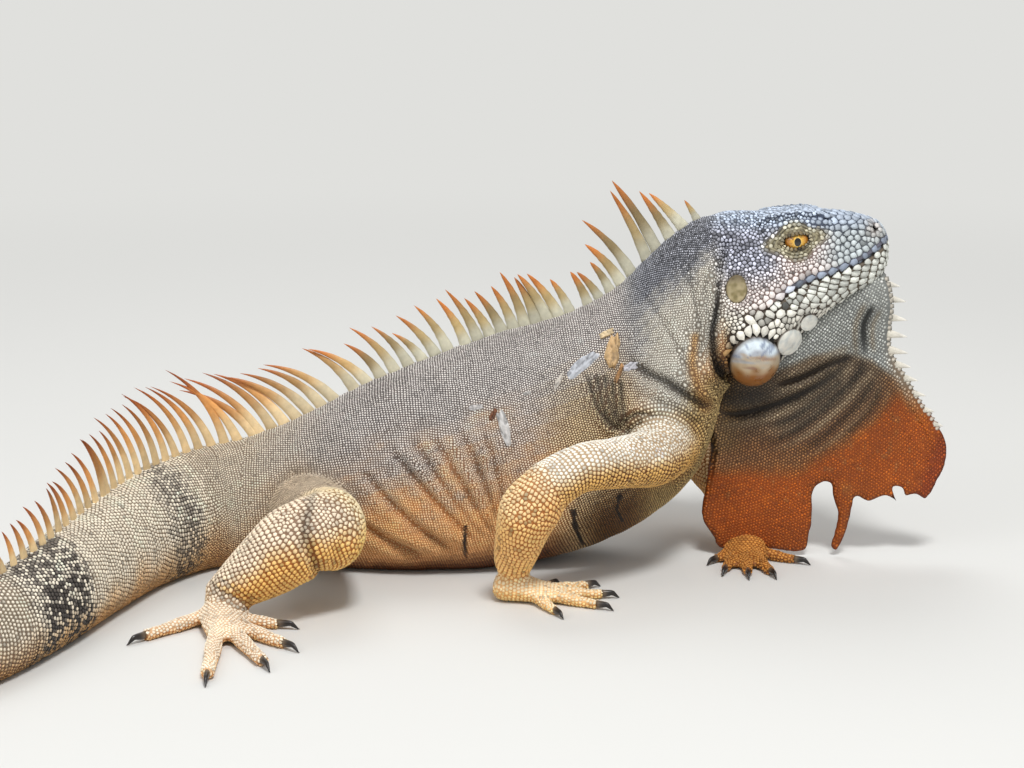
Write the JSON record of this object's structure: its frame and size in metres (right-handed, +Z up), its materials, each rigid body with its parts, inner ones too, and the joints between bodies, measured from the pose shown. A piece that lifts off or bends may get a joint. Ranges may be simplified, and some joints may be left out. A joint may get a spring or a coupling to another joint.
{
  "type": "green iguana, adult male, life-size still model",
  "caption": "Life-size resting iguana with raised head, spiny crest, ragged throat fan, cheek shields, spread clawed feet and a long curving tail.",
  "frame": {"origin": "on the floor under the belly, on the plane of symmetry of trunk and head, 5 mm behind the deepest point of the belly", "axes": "+X towards the snout, +Y towards the animal's left, +Z up"},
  "size_m": [1.0592, 0.4656, 0.2069],
  "materials": {
    "head_skin": "dry scaly skin, blue-grey above and pinkish grey on the cheeks",
    "body_skin": "dry scaly skin, grey-beige with warm brown flanks and an orange belly",
    "tail_skin": "dry scaly skin, cream and brown rings with dark bands",
    "limb_skin": "dry scaly skin, cream-yellow to orange",
    "throat_skin": "thin scaly skin, grey-brown above and deep orange below",
    "crest": "soft horny spines, grey-white at the root and orange at the tip",
    "claw": "dark horn, half glossy",
    "eye": "wet eye, orange-gold iris with a black pupil",
    "eardrum": "thin olive-brown skin, slightly glossy",
    "shield": "smooth shining scale, pale grey above and tan orange below"
  },
  "bodies": {
    "root": {"belly": "body_skin", "chest": "body_skin", "claw_foot_left_1": "claw", "claw_foot_left_2": "claw", "claw_foot_left_3": "claw", "claw_foot_left_4": "claw", "claw_foot_left_5": "claw", "claw_foot_right_1": "claw", "claw_foot_right_2": "claw", "claw_foot_right_3": "claw", "claw_foot_right_4": "claw", "claw_foot_right_5": "claw", "claw_hand_left_1": "claw", "claw_hand_left_2": "claw", "claw_hand_left_3": "claw", "claw_hand_left_4": "claw", "claw_hand_left_5": "claw", "claw_hand_right_1": "claw", "claw_hand_right_2": "claw", "claw_hand_right_3": "claw", "claw_hand_right_4": "claw", "claw_hand_right_5": "claw", "ear_left": "eardrum", "ear_right": "eardrum", "eye_left": "eye", "eye_right": "eye", "foot_left": "limb_skin", "foot_right": "limb_skin", "forearm_left": "limb_skin", "forearm_right": "limb_skin", "hand_left": "limb_skin", "hand_right": "limb_skin", "head": "head_skin", "loin": "body_skin", "lower_jaw": "head_skin", "neck": "body_skin", "pelvis": "body_skin", "shank_left": "limb_skin", "shank_right": "limb_skin", "shield_main_left": "shield", "shield_main_right": "shield", "shield_second_left": "shield", "shield_second_right": "shield", "shield_third_left": "shield", "shield_third_right": "shield", "tail_1": "tail_skin", "tail_2": "tail_skin", "tail_3": "tail_skin", "tail_4": "tail_skin", "tail_5": "tail_skin", "tail_6": "tail_skin", "thigh_left": "limb_skin", "thigh_right": "limb_skin", "throat_fan": "throat_skin", "upper_arm_left": "limb_skin", "upper_arm_right": "limb_skin"}
  },
  "joints": []
}
